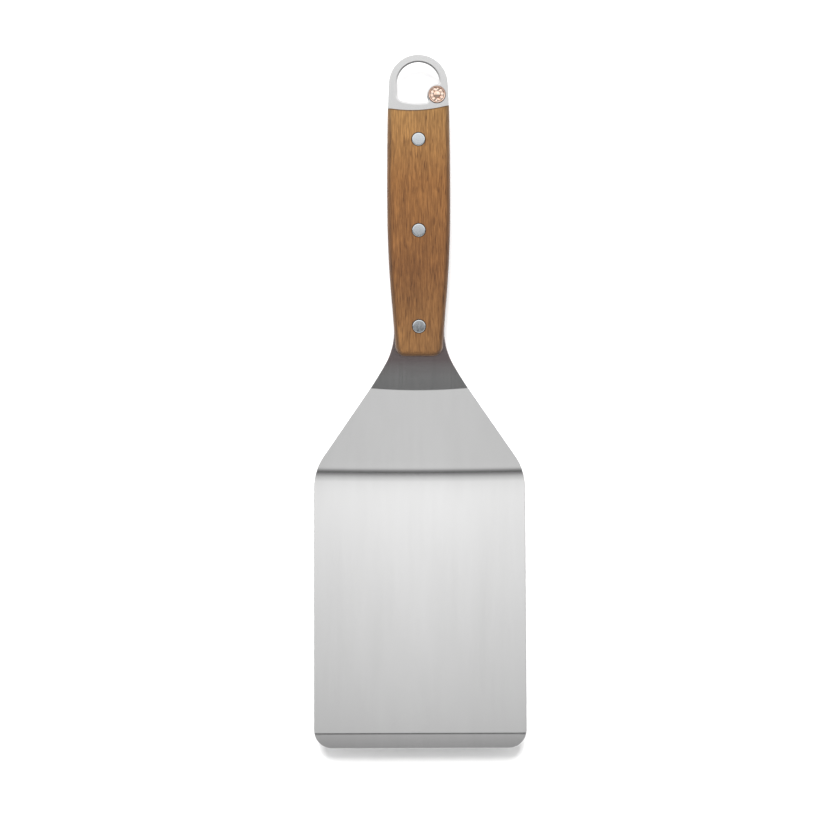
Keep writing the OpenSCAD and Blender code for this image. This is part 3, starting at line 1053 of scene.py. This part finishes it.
def rivet_half(name, cad_node, up):
    """One half of a rivet, turned from the sizes of its CAD node."""
    low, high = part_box(cad_node)
    head_r = (high.x - low.x) / 2
    length = high.z - low.z
    if up:
        bore_r = PIN_R + PRESS
        foot = [(BARREL_R, -RIVET_SEAT), (BARREL_R, -length), (bore_r, -length),
                (bore_r, -BARREL_ROOF), (0, -BARREL_ROOF)]
    else:
        foot = [(PIN_R, -RIVET_SEAT), (PIN_R, PIN_CHAMFER - length),
                (PIN_R - PIN_CHAMFER, -length), (0, -length)]
    profile = head_profile(head_r) + [(head_r, -RIVET_SEAT)] + foot
    if not up:
        profile = [(r, -z) for r, z in profile][::-1]
    tip = high.z if up else low.z
    return lathe(name, profile, ((low.x + high.x) / 2, (low.y + high.y) / 2, tip))


for end in RIVET_ENDS:
    for half, up in (("barrel", True), ("pin", False)):
        cad_node = f"{end}_rivet_{half}"
        place(rivet_half(cad_node + "_turned", cad_node, up), [cad_node], RIVET)


# The badge, from its middle outwards
BADGE_DOME_R = 1.8 * MM
BADGE_DOME_DROP = 0.12 * MM
BADGE_SUNK = 0.4 * MM
FLUTES = 9
FLUTE_DEPTH = 0.09 * MM
BADGE_RIM_R = BADGE_R - 0.7 * MM
STUD_HEAD_R = 2.2 * MM


def badge_ripple(r, angles):
    """Radial flutes in the sunk ring, fading out at both of its edges."""
    inner, outer = 2.1 * MM, BADGE_RIM_R - 0.35 * MM
    if not inner < r < outer:
        return np.zeros(len(angles))
    fade = math.sin(math.pi * (r - inner) / (outer - inner)) ** 0.5
    return FLUTE_DEPTH * fade * np.cos(FLUTES * angles)


def badge():
    """A round badge of no design but a raised rim, a fluted ring and a domed middle."""
    steel_top = top_low.z
    rise = badge_high.z - steel_top
    back = badge_low.z - steel_top
    dome_steps = 6
    dome = [(BADGE_DOME_R * k / dome_steps,
             rise - 0.08 * MM - BADGE_DOME_DROP * (k / dome_steps) ** 2)
            for k in range(dome_steps + 1)]
    ring = [(r, rise - BADGE_SUNK)
            for r in np.linspace(BADGE_DOME_R + 0.2 * MM, BADGE_RIM_R - 0.3 * MM, 14)]
    rim = [(BADGE_RIM_R - 0.1 * MM, rise - 0.12 * MM), (BADGE_RIM_R, rise - 0.03 * MM),
           (BADGE_RIM_R + 0.12 * MM, rise)]
    rim += corner_round(BADGE_R, rise, 0.25 * MM)
    under = [(BADGE_R, 0.03 * MM), (BADGE_R - 0.1 * MM, 0), (STUD_R, 0), (STUD_R, -SHEET)]
    stud_head = [(STUD_HEAD_R, -SHEET), (STUD_HEAD_R - 0.05 * MM, -SHEET - 0.3 * MM),
                 (STUD_HEAD_R - 0.5 * MM, back + 0.06 * MM), (STUD_HEAD_R - 1.0 * MM, back),
                 (0, back)]
    return lathe("round_badge", dome + ring + rim + under + stud_head,
                 (BADGE_CENTRE.x, BADGE_CENTRE.y, steel_top), 288, badge_ripple)


place(badge(), ["badge"], COPPER)


# ---------------------------------------------------------------- floor, light and camera

def floor():
    """The surface that the spatula lies on."""
    half = 4.0
    corners = [(-half, -half, 0), (half, -half, 0), (half, half, 0), (-half, half, 0)]
    obj = make_object("floor", corners, [(0, 1, 2, 3)])
    obj.data.materials.append(pale_floor())


floor()


def studio_world():
    """Soft boxes on both sides of a dark gap over the spatula, given by the angle along Y."""
    world = bpy.data.worlds.new("studio")
    bpy.context.scene.world = world
    world.use_nodes = True
    tree = world.node_tree
    way = node(tree, "ShaderNodeSeparateXYZ",
               Vector=node(tree, "ShaderNodeTexCoord").outputs["Generated"])
    angle = math_node(tree, "ARCTAN2", way.outputs["Y"], way.outputs["Z"])
    span = 60
    turned = math_node(tree, "MULTIPLY_ADD", angle, 180 / math.pi / span, 0.5)
    # Degrees from straight up towards +Y, and how bright the studio is there
    levels = ((-30, 0.78), (-10, 0.81), (-7.8, 0.72), (-6.2, 0.56), (-4.6, 0.38), (-2.9, 0.26),
              (-1.1, 0.11), (1.4, 0.11), (2.3, 0.28), (3.4, 0.60), (4.6, 0.79), (5.6, 0.84),
              (7.2, 0.95), (8.2, 1.05), (9.0, 1.19), (10, 1.28), (12, 1.3), (30, 1.2))
    above = ramp(tree, turned, [(0.5 + degrees / span, level) for degrees, level in levels])
    low = ramp(tree, way.outputs["Z"], ((0.0, 1.1), (0.05, 1.0), (0.16, 0.55), (0.6, 0.62)))
    aside = math_node(tree, "MULTIPLY_ADD", way.outputs["X"], -0.3, 1.0)
    low = mix(tree, 1.0, low, node(tree, "ShaderNodeCombineColor", Red=aside, Green=aside,
                                   Blue=aside).outputs[0], "MULTIPLY")
    high_up = node(tree, "ShaderNodeMapRange", {"interpolation_type": "SMOOTHSTEP"},
                   Value=way.outputs["Z"], **{"From Min": 0.35, "From Max": 0.7}).outputs[0]
    shade = mix(tree, high_up, low, above)
    background = tree.nodes["Background"]
    tree.links.new(shade, background.inputs["Color"])
    background.inputs["Strength"].default_value = 1.0


def key_light():
    """Lights the floor and the wood and casts the soft shadow, but isn't mirrored by the steel."""
    light = bpy.data.lights.new("key", "SUN")
    light.energy = 4.6
    light.angle = math.radians(32)
    obj = bpy.data.objects.new("key", light)
    bpy.context.scene.collection.objects.link(obj)
    toward = Vector((0.06, -0.76, -1.0))
    obj.rotation_euler = toward.to_track_quat("-Z", "Y").to_euler()
    obj.visible_glossy = False


def camera():
    """Straight above, with the loop at the top of the picture and the whole length in view."""
    low, high = cad_bounds
    middle = (low + high) / 2
    length = high.y - low.y
    data = bpy.data.cameras.new("camera")
    data.sensor_width = 36
    data.lens = data.sensor_width * (CAMERA_HEIGHT - top_low.z) / (VIEW_WIDTH * length)
    data.clip_end = 20
    obj = bpy.data.objects.new("camera", data)
    bpy.context.scene.collection.objects.link(obj)
    obj.location = (middle.x + VIEW_ASIDE * length, middle.y + VIEW_ALONG * length, CAMERA_HEIGHT)
    obj.rotation_euler = (0, 0, VIEW_TURN)
    bpy.context.scene.camera = obj


studio_world()
key_light()
camera()
bpy.context.scene.view_settings.view_transform = "Standard"
bpy.context.scene.view_settings.look = "None"
